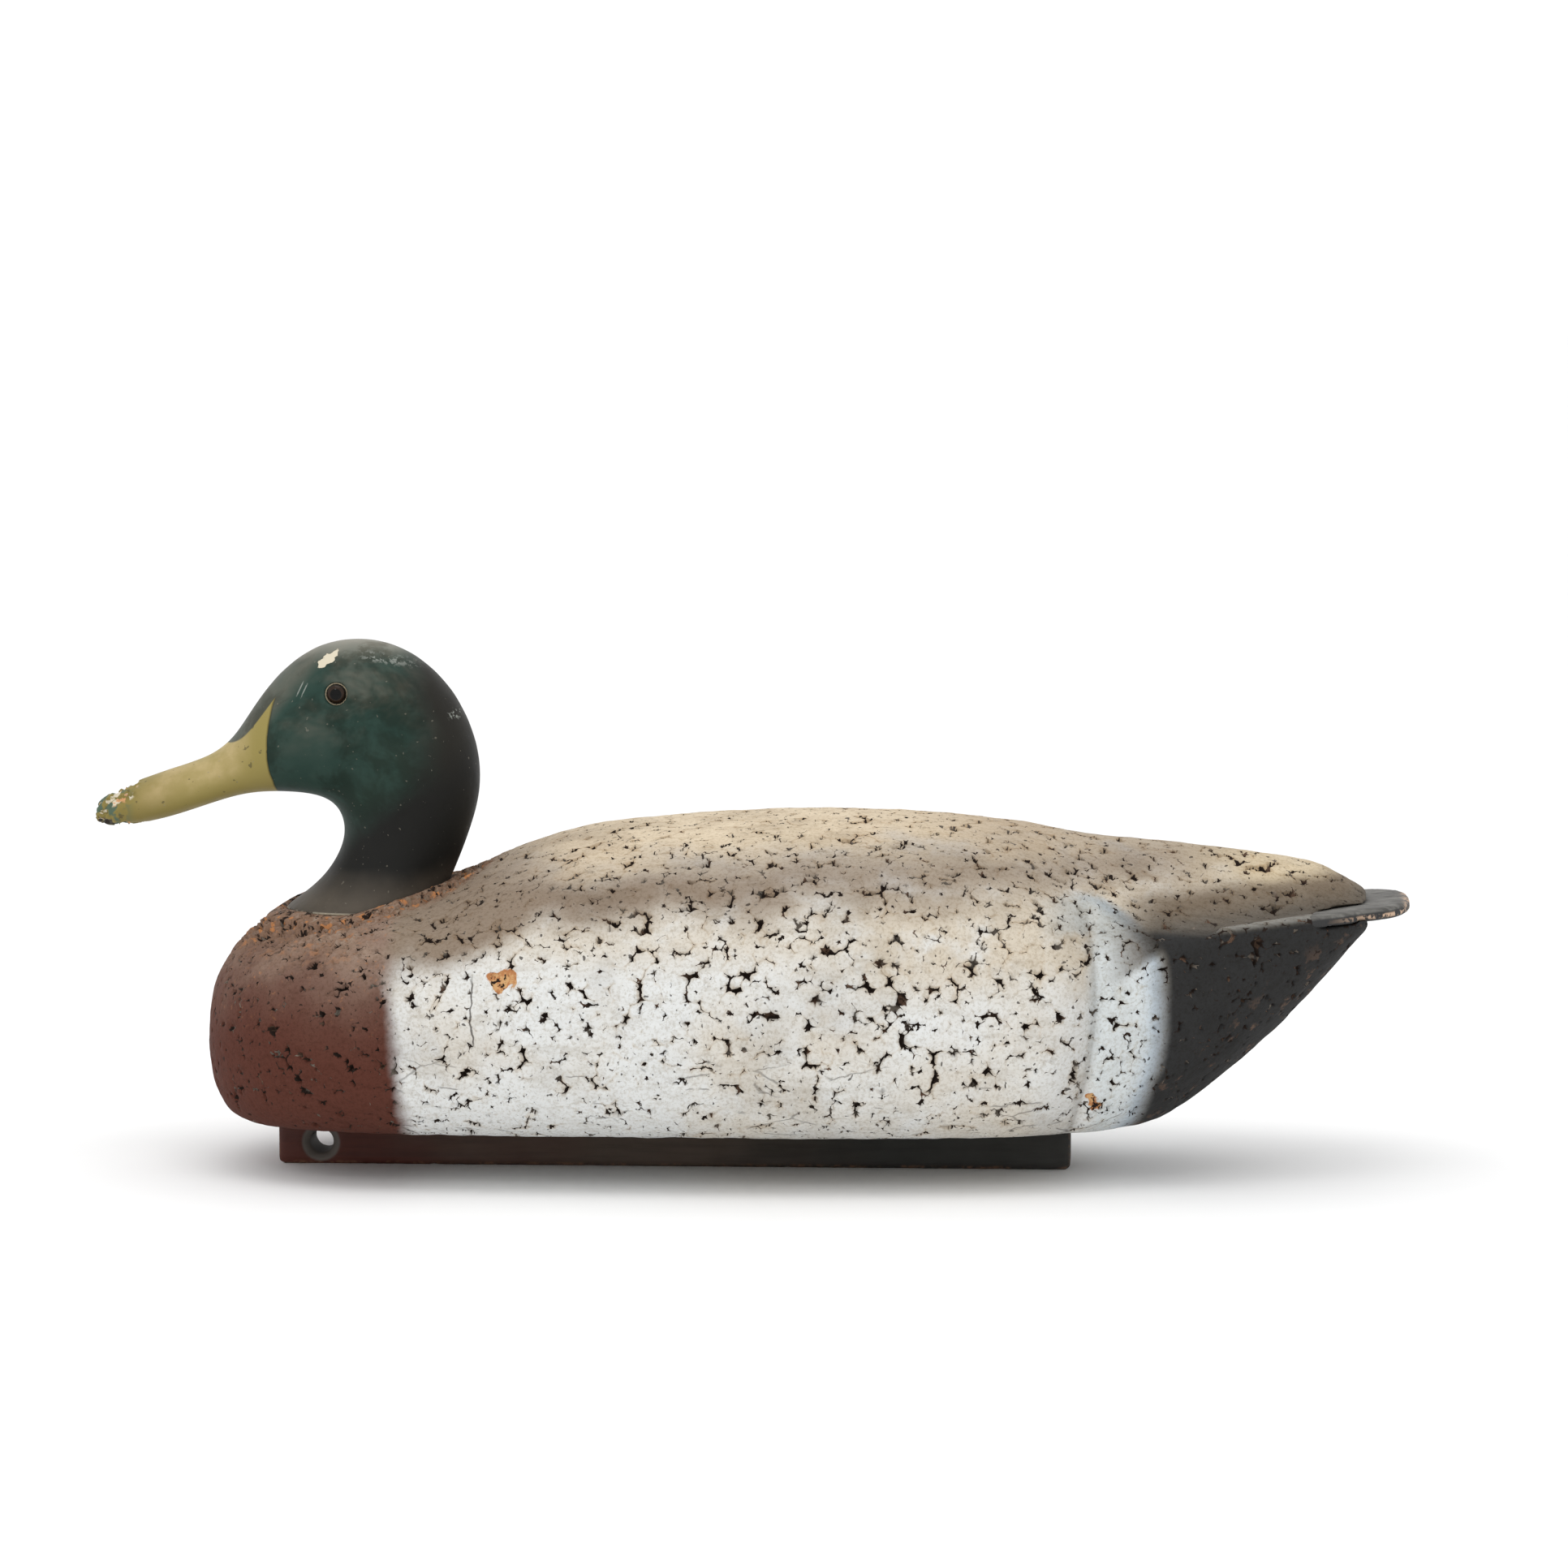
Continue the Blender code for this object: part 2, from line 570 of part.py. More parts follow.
def make_keel_fixings():
    """The hardwood plugs in the cork, and the screws that draw the keel up against it."""
    for name, x in zip(("front", "rear"), KEEL_SCREWS_X):
        bottom = BODY_BOTTOM + GAP
        plug = placed(cylinder(PLUG_RADIUS, bottom, BODY_BOTTOM + PLUG_HEIGHT, 24), x=x)
        plug = add_object(f"keel_plug_{name}", plug, "bare_wood")
        pilot = placed(cylinder(2.4 + GAP, 10, 1 + KEEL_SCREW_LENGTH + 1.0, 14), x=x)
        cut(plug, add_object(f"cut_pilot_{name}", pilot))
        screw = wood_screw(4.6, 2.4, KEEL_SCREW_LENGTH, 8)
        add_object(f"keel_screw_{name}", placed(screw, x=x, z=1.0), "steel")


# ---- tail board ----------------------------------------------------------------------------


def board_outline():
    """Half of the board's plan, from the front corner to the tip: (along, half width)."""
    end = BOARD_TIP - BOARD_FRONT
    outline = [(0, BOARD_FRONT_HALF), (10, BOARD_SHOULDER_HALF)]
    for x, *_, half, _, _ in BODY_STATIONS:
        if BOARD_FRONT + 10 < x < BOARD_TIP - BOARD_END_LENGTH:
            outline.append((x - BOARD_FRONT, half + BOARD_PROUD))
    for step in range(9):
        angle = math.pi / 2 * step / 8
        across = math.cos(angle) ** (2 / BOARD_END_SQUARENESS)
        along = math.sin(angle) ** (2 / BOARD_END_SQUARENESS)
        outline.append((end - BOARD_END_LENGTH * (1 - along), BOARD_END_HALF * across))
    return outline


def board_blank(half, bottom, top):
    """A flat prism with this half outline, mirrored about its middle line."""
    outline = half[:-1] + [(half[-1][0], 0)]
    outline += [(along, -width) for along, width in reversed(half[:-1])]
    bm = bmesh.new()
    face = bm.faces.new([bm.verts.new((along, width, bottom)) for along, width in outline])
    lid = bmesh.ops.extrude_face_region(bm, geom=[face])["geom"]
    upper = [part for part in lid if isinstance(part, bmesh.types.BMVert)]
    bmesh.ops.translate(bm, vec=(0, 0, top - bottom), verts=upper)
    return bm


def make_tail_board():
    """The fan-shaped board with rounded edges, and the two pegs that lock it in its slot."""
    bm = board_blank(board_outline(), -BOARD_THICKNESS, 0)
    rims = [edge for edge in bm.edges if edge.verts[0].co.z == edge.verts[1].co.z]
    bmesh.ops.bevel(
        bm, geom=rims, offset=1.4, segments=2, profile=0.5, affect="EDGES", material=-1
    )
    bmesh.ops.transform(bm, matrix=board_matrix(), verts=bm.verts)
    board = add_object("tail_board", bm, "tail_paint")
    for name, side in (("left", -1), ("right", 1)):
        hole = placed(cylinder(PEG_RADIUS + GAP, 85, 115, 20), PEG_X, side * PEG_Y)
        cut(board, add_object(f"cut_board_peg_{name}", hole))
        peg = placed(cylinder(PEG_RADIUS, PEG_BOTTOM, PEG_TOP, 20), PEG_X, side * PEG_Y)
        add_object(f"tail_peg_{name}", peg, "bare_wood")


def main():
    for obj in list(bpy.data.objects):
        bpy.data.objects.remove(obj)
    make_body()
    make_head()
    make_eye("left", -1)
    make_eye("right", 1)
    make_lag_screw()
    make_keel()
    make_ballast()
    make_keel_fixings()
    make_tail_board()


main()
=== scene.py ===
import math
import json
import bpy
import bmesh
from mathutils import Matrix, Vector


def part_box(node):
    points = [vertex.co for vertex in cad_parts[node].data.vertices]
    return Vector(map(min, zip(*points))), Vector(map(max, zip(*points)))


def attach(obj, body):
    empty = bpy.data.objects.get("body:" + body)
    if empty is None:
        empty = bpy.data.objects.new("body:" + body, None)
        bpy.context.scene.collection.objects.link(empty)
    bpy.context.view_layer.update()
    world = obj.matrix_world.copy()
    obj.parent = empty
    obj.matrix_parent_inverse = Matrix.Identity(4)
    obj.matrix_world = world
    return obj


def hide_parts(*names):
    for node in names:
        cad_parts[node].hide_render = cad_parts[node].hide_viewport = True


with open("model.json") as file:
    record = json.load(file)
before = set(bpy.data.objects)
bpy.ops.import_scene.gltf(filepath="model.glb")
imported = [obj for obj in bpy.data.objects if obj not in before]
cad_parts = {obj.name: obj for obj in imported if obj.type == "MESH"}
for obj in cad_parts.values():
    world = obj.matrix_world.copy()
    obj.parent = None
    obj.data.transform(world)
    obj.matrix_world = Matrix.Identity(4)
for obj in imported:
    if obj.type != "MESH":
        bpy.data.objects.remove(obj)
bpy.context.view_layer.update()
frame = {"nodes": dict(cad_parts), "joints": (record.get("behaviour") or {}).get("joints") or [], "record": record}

# Working cork decoy of a drake mallard. Everything is in metres, bill towards -X, the left side towards -Y.

view = {
    "lens": 145.1,  # long lens, from a little above the back
    "distance": 2.392,
    "aim": (0.0134, 0.0, 0.1449),
    "turn": 3.29,  # degrees, the tail a little nearer
    "dip": 5.37,
}


class Wire:  # one output of a node; + - * / between wires and numbers add Math nodes
    def __init__(self, tree, socket=None):
        self.tree, self.socket = tree, socket

    def add(self, kind, settings=None, values=None, out=0):
        made = self.tree.nodes.new(kind)
        for name, value in (settings or {}).items():
            setattr(made, name, value)
        for name, value in (values or {}).items():
            if isinstance(value, Wire):
                self.tree.links.new(value.socket, made.inputs[name])
            else:
                made.inputs[name].default_value = value
        return Wire(self.tree, None if out is None else made.outputs[out])

    def maths(self, operation, first, second=0.0):
        return self.add("ShaderNodeMath", {"operation": operation}, {0: first, 1: second})

    def __add__(self, other):
        return self.maths("ADD", self, other)

    __radd__ = __add__

    def __mul__(self, other):
        return self.maths("MULTIPLY", self, other)

    __rmul__ = __mul__

    def __sub__(self, other):
        return self.maths("SUBTRACT", self, other)

    def __rsub__(self, other):
        return self.maths("SUBTRACT", other, self)

    def __truediv__(self, other):
        return self.maths("DIVIDE", self, other)

    def __pow__(self, other):
        return self.maths("POWER", self, other)

    def least(self, other):
        return self.maths("MINIMUM", self, other)

    def most(self, other):
        return self.maths("MAXIMUM", self, other)

    def size(self):
        return self.maths("ABSOLUTE", self)

    def ease(self, low, high):  # 0 below low, 1 above high, and a smooth step between; low may be the higher
        span = {"interpolation_type": "SMOOTHSTEP"}
        if low <= high:
            return self.add("ShaderNodeMapRange", span, {"Value": self, "From Min": low, "From Max": high})
        back = {"Value": self, "From Min": high, "From Max": low, "To Min": 1.0, "To Max": 0.0}
        return self.add("ShaderNodeMapRange", span, back)

    def parts(self):  # x, y and z of a vector
        split = self.add("ShaderNodeSeparateXYZ", None, {0: self})
        return [Wire(self.tree, output) for output in split.socket.node.outputs]

    def noise(self, scale, detail=2.0, rough=0.5, out="Factor"):
        outputs = {"Factor": 0, "Color": 1}
        values = {"Vector": self, "Scale": scale, "Detail": detail, "Roughness": rough}
        return self.add("ShaderNodeTexNoise", None, values, outputs[out])

    def cells(self, scale, feature="F1", out=0):
        return self.add("ShaderNodeTexVoronoi", {"feature": feature}, {"Vector": self, "Scale": scale}, out)

    def shift(self, scale=(1, 1, 1), move=(0, 0, 0)):
        moved = {"operation": "MULTIPLY_ADD"}
        return self.add("ShaderNodeVectorMath", moved, {0: self, 1: scale, 2: move})

    def bend(self, scale, reach):  # the same place, pushed about by noise by up to half of reach
        push = self.noise(scale, 2.0, out="Color")
        moved = {"operation": "MULTIPLY_ADD"}
        return self.add("ShaderNodeVectorMath", moved, {0: push, 1: (reach, reach, reach), 2: self})

    def over(self, mask, colour):  # colour laid over this one where mask is 1
        return blend(mask, self, colour)

    def tint(self, mask, colour):
        settings = {"data_type": "RGBA", "blend_type": "MULTIPLY"}
        return self.add("ShaderNodeMix", settings, {0: mask, 6: self, 7: paint(colour)}, 2)


def paint(colour):
    return colour if isinstance(colour, Wire) else (*colour, 1.0)


def blend(mask, low, high):  # low where mask is 0, high where it is 1
    return mask.add("ShaderNodeMix", {"data_type": "RGBA"}, {0: mask, 6: paint(low), 7: paint(high)}, 2)


def newMaterial(name):
    material = bpy.data.materials.new(name)
    material.use_nodes = True
    start = Wire(material.node_tree)
    return material, start, material.node_tree.nodes["Principled BSDF"]


def restPlace(start):  # where a carved piece's surface was before it was cut into
    return start.add("ShaderNodeAttribute", {"attribute_name": "rest"}, None, 1)


def objectPlace(start):
    return start.add("ShaderNodeTexCoord", None, None, 3)


def feed(start, shader, colour=None, rough=None, metal=None, bumps=()):
    # bumps is a list of (height wire, distance in metres, strength)
    tree = start.tree
    for name, value in (("Base Color", colour), ("Roughness", rough), ("Metallic", metal)):
        if isinstance(value, Wire):
            tree.links.new(value.socket, shader.inputs[name])
        elif value is not None:
            shader.inputs[name].default_value = value
    normal = None
    for height, distance, strength in bumps:
        values = {"Height": height, "Distance": distance, "Strength": strength}
        if normal:
            values["Normal"] = normal
        normal = start.add("ShaderNodeBump", None, values)
    if normal:
        tree.links.new(normal.socket, shader.inputs["Normal"])


def cadCopy(node, name):
    mesh = frame["nodes"][node].data.copy()
    mesh.materials.clear()
    obj = bpy.data.objects.new(name, mesh)
    bpy.context.scene.collection.objects.link(obj)
    bm = bmesh.new()
    bm.from_mesh(mesh)
    bmesh.ops.remove_doubles(bm, verts=bm.verts, dist=1e-6)
    bm.to_mesh(mesh)
    bm.free()
    return obj


def settle(obj):  # what the modifiers make becomes the mesh
    graph = bpy.context.evaluated_depsgraph_get()
    mesh = bpy.data.meshes.new_from_object(obj.evaluated_get(graph))
    obj.modifiers.clear()
    obj.data = mesh
    return obj


def remesh(obj, voxel):
    step = obj.modifiers.new("remesh", "REMESH")
    step.mode = "VOXEL"
    step.voxel_size = voxel
    step.use_smooth_shade = True


def thin(obj, faces):
    count = len(obj.data.polygons) * 2
    step = obj.modifiers.new("thin", "DECIMATE")
    step.ratio = min(1.0, faces / count)
    settle(obj)
    obj.data.shade_smooth()


def carve(obj, smoothing, mask, depth):
    # smooths the mesh where mask allows, keeps the smooth place as "rest", then sinks the surface by depth
    tree = bpy.data.node_groups.new("carve " + obj.name, "GeometryNodeTree")
    for way in ("INPUT", "OUTPUT"):
        tree.interface.new_socket("Geometry", in_out=way, socket_type="NodeSocketGeometry")
    start = Wire(tree)
    shape = start.add("NodeGroupInput")
    place = start.add("GeometryNodeInputPosition")
    values = {"Value": place, "Iterations": smoothing, "Weight": mask(place)}
    softened = start.add("GeometryNodeBlurAttribute", {"data_type": "FLOAT_VECTOR"}, values)
    shape = start.add("GeometryNodeSetPosition", None, {"Geometry": shape, "Position": softened})
    kept = {"data_type": "FLOAT_VECTOR", "domain": "POINT"}
    values = {"Geometry": shape, "Name": "rest", "Value": place}
    shape = start.add("GeometryNodeStoreNamedAttribute", kept, values)
    normal = start.add("GeometryNodeInputNormal")
    sink = start.add("ShaderNodeVectorMath", {"operation": "SCALE"}, {0: normal, "Scale": depth(place) * -1})
    shape = start.add("GeometryNodeSetPosition", None, {"Geometry": shape, "Offset": sink})
    start.add("NodeGroupOutput", None, {0: shape}, None)
    step = obj.modifiers.new("carve", "NODES")
    step.node_group = tree
    return settle(obj)


# the tail board's middle height over X, and half the body's width along its edge
board = {
    "height": 0.0806,
    "rise": 0.084,
    "startX": 0.156,
    "startHalf": 0.0705,
    "taper": 0.484,
}

# coarse cork granules pressed together, with open voids where they meet
cork = {
    "voxel": 0.00105,
    "smoothing": 70,
    "faces": 190000,
    "granule": 0.0047,
    "voidDepth": 0.0027,
    "fillerEnd": 0.2135,  # filler and paint close the tail board's edge over up to here
    "shine": 0.12,
    "breast": (0.090, 0.030, 0.020),
    "breastTop": (0.330, 0.245, 0.190),
    "flank": (0.690, 0.700, 0.690),
    "flankStain": (0.560, 0.485, 0.375),
    "band": (0.245, 0.190, 0.142),
    "back": (0.640, 0.540, 0.400),
    "backDirt": (0.370, 0.286, 0.200),
    "rump": (0.610, 0.645, 0.650),
    "rear": (0.026, 0.026, 0.026),
    "shoulder": (0.310, 0.240, 0.178),
    "tailRidgeHighlight": (0.600, 0.500, 0.345),
    # painted shade in the concave hollow above the tail board, darkest at its foot
    "hollow": (0.170, 0.132, 0.095),
    "hollowDeepShade": (0.072, 0.066, 0.058),
    "lip": (0.250, 0.243, 0.222),
    "bare": (0.215, 0.128, 0.084),
    "crumb": (0.430, 0.190, 0.078),
    "tornEdge": (0.560, 0.330, 0.150),
    "silt": (0.230, 0.200, 0.165),
    "void": (0.018, 0.011, 0.008),
    "rumpShade": (0.620, 0.600, 0.560),
    "rumpBlue": (0.560, 0.660, 0.800),
    "slopeShade": (0.660, 0.650, 0.640),
    "creaseShade": (0.450, 0.440, 0.430),
    "holeShade": (0.780, 0.670, 0.540),
    "lumpShade": (0.500, 0.420, 0.340),
    "streakShade": (0.700, 0.660, 0.600),
    "cloudShade": (0.740, 0.730, 0.720),
    "gritShade": (0.620, 0.570, 0.500),
}
swivel = frame["joints"][0]["pos_m"]


def overBoard(place):  # height above the tail board's middle
    x, _, z = place.parts()
    return z - board["height"] - x * board["rise"]


def seatReach(place):  # distance from the neck's axis
    flat = place.shift((1, 1, 0), (-swivel[0], 0, 0))
    return flat.add("ShaderNodeVectorMath", {"operation": "LENGTH"}, {0: flat}, 1)


def offSlot(place, low, high):  # 0 beside the tail board's slot, 1 away from it
    x = place.parts()[0]
    return overBoard(place).size().ease(low, high).most(x.ease(0.166, 0.156))


def offSeat(place, low, high):
    z = place.parts()[2]
    return seatReach(place).ease(low, high).most(z.ease(0.094, 0.088))


def erosion(place):  # 1 where the cork crumbles: round the seat and on the upper breast
    x, _, z = place.parts()
    ring = seatReach(place).ease(0.064, 0.038) * z.ease(0.076, 0.090)
    chest = x.ease(-0.118, -0.150) * z.ease(0.070, 0.094) * 0.5
    return ring.most(chest)


def openness(place):
    # voids are wider high on the flank and round the seat, and narrower at both ends and low down
    x, _, z = place.parts()
    tight = x.ease(-0.126, -0.140).most(x.ease(0.125, 0.160)) * z.ease(0.095, 0.085) * 0.045
    low = (z.ease(0.046, 0.028) * 0.05).most(x.ease(0.155, 0.180) * 0.045)
    high = (z - 0.088).size().ease(0.022, 0.006) * x.ease(-0.11, -0.09) * x.ease(0.150, 0.140) * 0.015
    return high + erosion(place) * 0.06 - tight - low


def hairlines(place):  # an upright crack behind the breast, and fine level cracks low on the sides
    x, _, z = place.bend(90, 0.004).bend(500, 0.0012).parts()
    upright = (x + 0.0935).size().ease(0.00055, 0.0001) * (z - 0.0710).size().ease(0.0150, 0.0100)
    level = place.bend(300, 0.0015).shift((0.30, 0.6, 1)).cells(110, "DISTANCE_TO_EDGE").ease(0.030, 0.006)
    level = level * place.noise(70, 2.0).ease(0.54, 0.60) * (z - 0.036).size().ease(0.022, 0.012)
    return upright.most(level * 0.6 * x.ease(-0.124, -0.118))


def voids(place):
    # angular holes where granules meet, small holes, and hairlines that run out along the granules' edges
    bent = place.bend(150, 0.0026).bend(640, 0.0008)
    scale = 1 / cork["granule"]
    near, edge = bent.cells(scale), bent.cells(scale, "DISTANCE_TO_EDGE")
    reach = near + (place.noise(300, 2.0) - 0.5) * 0.30
    reach = reach + (place.noise(70, 2.0) - 0.5) * 0.12 + openness(place)
    star = (reach - 0.775).least(0.17) * 1.25 - edge
    crack = ((reach - 0.72).least(0.14) * 0.12 - edge).ease(0.0, 0.008)
    crack = crack.most(hairlines(place))
    fine = place.bend(420, 0.0014)
    small = fine.cells(scale * 1.55) - fine.cells(scale * 1.55, "DISTANCE_TO_EDGE") * 0.7
    small = small + (place.noise(170, 2.0) - 0.5) * 0.40
    return star, small, crack, reach


def barePatch(place):  # where the skin has broken away on the left side
    x, y, z = place.bend(210, 0.007).bend(600, 0.0025).parts()
    first = ((x + 0.0800) / 0.0052) ** 2 + ((z - 0.0850) / 0.0036) ** 2
    second = ((x - 0.1362) / 0.0020) ** 2 + ((z - 0.0385) / 0.0030) ** 2
    return first.least(second).ease(1.15, 0.85) * y.ease(0.0, -0.01)


def flankStep(x, z):  # how far behind the curved step at the back of the flank
    return x - 0.1325 + ((z - 0.072) / 0.052) ** 2 * 0.0105


def corkDepth(place):
    star, small, _, _ = voids(place)
    x, _, z = place.parts()
    body = star.ease(0.015, 0.10).most(small.ease(0.805, 0.88) * 0.6) * cork["voidDepth"]
    body = body + barePatch(place) * 0.0008
    lumps = (place.noise(95, 2.0) - 0.5) * 0.0011
    crumbs = erosion(place) * (place.noise(260, 4.0, 0.7).ease(0.40, 0.62) * 0.0030)
    crease = flankStep(x, z).size().ease(0.0050, 0.0004) * 0.0012
    crease = crease * z.ease(0.108, 0.098) * z.ease(0.020, 0.030)
    return (body + lumps + crumbs + crease) * offSlot(place, 0.0030, 0.0050) * offSeat(place, 0.0352, 0.0375)


def corkSmoothing(place):
    x, _, z = place.parts()
    step = 1 - x.ease(0.118, 0.124) * x.ease(0.142, 0.136) * z.ease(0.110, 0.100) * 0.75
    rim = overBoard(place).size().ease(0.0030, 0.0150).most(x.ease(0.166, 0.150)) * 0.94 + 0.06
    return rim * (1 - x.ease(0.150, 0.170) * 0.6) * offSeat(place, 0.0380, 0.0520) * step


def rimHalf(x):
    return (x - board["startX"]) * -board["taper"] + board["startHalf"]


def cutAcross(bm, x, **options):
    geometry = bm.verts[:] + bm.edges[:] + bm.faces[:]
    bmesh.ops.bisect_plane(bm, geom=geometry, plane_co=(x, 0, 0), plane_no=(1, 0, 0), **options)


print("cork body")
corkBody = cadCopy("cork_body", "corkBody")
filled = cadCopy("tail_board", "filledEdge")
bm = bmesh.new()
bm.from_mesh(filled.data)
cutAcross(bm, cork["fillerEnd"], clear_outer=True)
bmesh.ops.holes_fill(bm, edges=bm.edges, sides=0)
bm.to_mesh(filled.data)
bm.clear()
bm.from_mesh(corkBody.data)
bm.from_mesh(filled.data)
bm.to_mesh(corkBody.data)
bm.free()
bpy.data.objects.remove(filled)
remesh(corkBody, cork["voxel"])
settle(corkBody)
carve(corkBody, cork["smoothing"], corkSmoothing, corkDepth)
thin(corkBody, cork["faces"])
print("cork body faces", len(corkBody.data.polygons))

corkPaint, start, shader = newMaterial("corkPaint")
place = restPlace(start)
x, y, z = place.parts()
star, small, crack, reach = voids(place)
star, small = star.ease(0.0, 0.02), small.ease(0.795, 0.815)
worn = erosion(place)
cloud = place.noise(14, 3.0)
mottle = place.noise(60, 4.0, 0.6)
fleck = place.noise(380, 3.0, 0.6)
streak = place.shift((0.22, 1, 1)).noise(260, 4.0, 0.65)
lumpy = place.bend(200, 0.002).noise(300, 4.0, 0.6)

wander = (place.noise(30, 3.0) - 0.5)
breastEdge = x + z * 0.084 + 0.1209 + wander * 0.009 + (mottle - 0.5) * 0.004
bandMiddle = z - 0.1085 - x * 0.05 + wander * 0.022
lowBand = bandMiddle - 0.0035 + x.ease(-0.070, -0.112) * 0.0150
rumpEdge = x - 0.1565 + ((z - 0.068) / 0.040) ** 2 * 0.0085 + wander * 0.006
rumpEdge = rumpEdge + ((z - 0.086).most(0) / 0.020) ** 2 * 0.013
shoulder = x.ease(-0.030, -0.105)

tan = (x - 0.004 + wander * 0.03).size().ease(0.030, 0.012) * z.ease(0.090, 0.060) * 0.50
tan = tan.most(x.ease(0.000, 0.060) * z.ease(0.062, 0.090) * 0.85).most(cloud.ease(0.50, 0.72) * 0.6)
tan = tan.most(z.ease(0.078, 0.096) * 0.65)
body = blend(tan * mottle.ease(0.20, 0.55), cork["flank"], cork["flankStain"])
back = bandMiddle.ease(0.006, 0.020)
body = body.over(back, cork["back"])
body = body.over(back * (mottle.ease(0.40, 0.75) * 0.45).most(x.ease(0.03, 0.12) * 0.8), cork["backDirt"])
body = body.over(lowBand.ease(-0.004, 0.010) * shoulder * (0.62 + wander * 0.8), cork["shoulder"])
band = lowBand.ease(-0.0165, 0.0010) * bandMiddle.ease(0.0200, 0.0050)
body = body.over(band * (0.78 + mottle * 0.35) * (1.10 - x.ease(-0.08, 0.10) * 0.30), cork["band"])
# painted highlight: the top of the tail ridge is painted a lighter tan where the top light falls on it
ridgeHighlight = x.ease(0.150, 0.205) * y.size().ease(0.040, 0.018)
body = body.over(ridgeHighlight * (0.65 + mottle * 0.4), cork["tailRidgeHighlight"])
rump = x.ease(0.1270, 0.1345) * rumpEdge.ease(0.0045, -0.0035)
rumpTop = x.ease(0.108, 0.128) * (z - 0.103).size().ease(0.0085, 0.0040)
rump = rump.most(rumpTop * rumpEdge.ease(0.0030, -0.0030) * 0.8)
body = body.over(rump, cork["rump"])
body = body.tint(rump * z.ease(0.086, 0.100) * 0.75, cork["rumpShade"])
rise = overBoard(place)
rear = rumpEdge.ease(-0.0050, 0.0050) * (rise - 0.0006 - (0.172 - x).most(0) * 0.12).ease(0.0022, -0.0014)
# painted shade: the concave hollow between the tail ridge and the tail board is painted dark grey-tan, darkest at
# its foot along the board
hollowShadeSide = x.ease(0.132, 0.158) * (rise + wander * 0.008).ease(0.0190, 0.0120)
hollowShadeSide = hollowShadeSide * (rise + (0.160 - x).most(0) * 0.6).ease(-0.004, 0.002)
body = body.over(hollowShadeSide * (0.72 + mottle * 0.45), cork["hollow"])
hollowFootShade = (rise + wander * 0.012).ease(0.0135, 0.0015)
body = body.over(hollowShadeSide * hollowFootShade * (0.45 + streak * 0.6), cork["hollowDeepShade"])
lip = (y.size() - rimHalf(x) + 0.0025 + x.ease(0.165, 0.215) * 0.0045).ease(-0.0015, 0.0015)
lip = lip * rise.ease(-0.0004, 0.0012) * x.ease(0.163, 0.178)
body = body.over(lip * (0.45 + streak.ease(0.35, 0.6) * 0.55), cork["lip"])
body = body.tint(rumpEdge.ease(-0.0100, 0.0020) * rump * 0.8, cork["rumpBlue"])
body = body.over(rear, cork["rear"])
underneath = (z - 0.020 - (x - 0.150) * 0.80).ease(0.024, 0.004)
scuffs = place.noise(120, 4.0, 0.7).ease(0.57, 0.66) * underneath
body = body.over(rear * scuffs * 0.45, cork["bare"])
step = flankStep(x, z)
slope = step.ease(-0.022, -0.001) * step.ease(0.0010, 0.0) * z.ease(0.112, 0.100)
body = body.tint(slope * (0.35 + mottle * 0.6), cork["slopeShade"])
body = body.tint(step.size().ease(0.0030, 0.0004) * z.ease(0.106, 0.090) * 0.30, cork["creaseShade"])
breast = breastEdge.ease(0.0045, -0.0040)
haze = (z - 0.046 + wander * 0.03).most(0) / 0.055
haze = (haze * (0.75 + mottle * 0.5)).least(1.0) ** 2.3
chest = blend(haze, cork["breast"], cork["breastTop"])
chest = chest.over(fleck.ease(0.60, 0.72) * z.ease(0.050, 0.085) * 0.5, cork["crumb"])
body = body.over(breast * (1 - haze.ease(0.7, 1.0) * 0.2), chest)
body = body.over(worn.ease(0.1, 0.7) * fleck.ease(0.30, 0.55) * 0.9, cork["bare"])
body = body.over(worn.ease(0.2, 0.8) * place.noise(250, 3.0).ease(0.58, 0.63), cork["crumb"])
body = body.over(worn.ease(0.1, 0.7) * place.noise(260, 4.0, 0.7).ease(0.56, 0.62), cork["void"])

halo = reach.ease(0.60, 0.80) * mottle.ease(0.30, 0.60) * 0.6
body = body.tint(halo * (1 - breast) * (1 - rear), cork["holeShade"])
grit = place.noise(850, 4.0, 0.7)
body = body.tint(grit.ease(0.46, 0.66) * 0.55, cork["gritShade"])
body = body.tint(lumpy.ease(0.55, 0.70) * (0.20 + worn * 0.6), cork["lumpShade"])
body = body.tint(streak.ease(0.50, 0.72) * 0.45, cork["streakShade"])
body = body.tint(place.noise(26, 3.0).ease(0.50, 0.68) * (1 - breast) * 0.5, cork["cloudShade"])
deep = star.most(small)
lining = blend(place.noise(210, 2.0).ease(0.54, 0.68) * 0.45, cork["void"], cork["bare"])
lining = lining.over(place.noise(170, 2.0).ease(0.56, 0.64) * 0.5, cork["silt"])
body = body.over(deep, lining)
torn = barePatch(place)
body = body.over(torn, cork["crumb"])
body = body.over(torn * place.noise(330, 4.0, 0.7).ease(0.44, 0.58), cork["tornEdge"])
body = body.over(torn * place.noise(240, 3.0, 0.7).ease(0.56, 0.62), cork["void"])
body = body.over(crack * 0.8, cork["void"])
body = body.over(place.noise(430, 1.0).ease(0.715, 0.745) * 0.8, cork["void"])

grain = fleck * 0.6 + place.noise(900, 3.0, 0.7) * 0.4
hollow = (star.most(small * 0.8).most(crack * 0.5)) * -1
corkBumps = [(hollow, 0.0008, 0.7), (lumpy, 0.0007, 0.4), (grain, 0.0004, 0.6)]
feed(start, shader, body, 0.70 + mottle * 0.25, bumps=corkBumps)
shader.inputs["Specular IOR Level"].default_value = cork["shine"]
corkBody.data.materials.append(corkPaint)
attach(corkBody, "hull")
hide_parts("cork_body")


